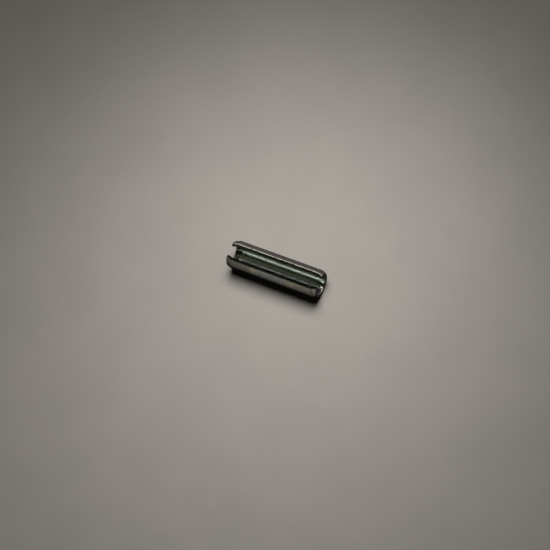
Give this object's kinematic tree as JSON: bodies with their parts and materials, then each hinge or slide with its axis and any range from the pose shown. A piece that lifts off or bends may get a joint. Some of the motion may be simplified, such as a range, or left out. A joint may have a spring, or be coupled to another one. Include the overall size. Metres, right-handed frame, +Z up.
{
  "type": "slotted spring pin",
  "caption": "Slotted tubular spring pin: a rolled steel sleeve with an open slot along its length and drawn-in, rounded ends that start it in a hole.",
  "frame": {"origin": "on the surface the pin lies on, under the middle of its length", "axes": "+X along the pin's axis, +Z up through the middle of the slot, +Y across the pin"},
  "size_m": [0.0184, 0.0054, 0.0049],
  "materials": {
    "spring_steel": "hardened and oiled spring steel, dark grey-green, satin, with fine marks along its length"
  },
  "bodies": {
    "root": {"spring_pin": "spring_steel"}
  },
  "joints": []
}
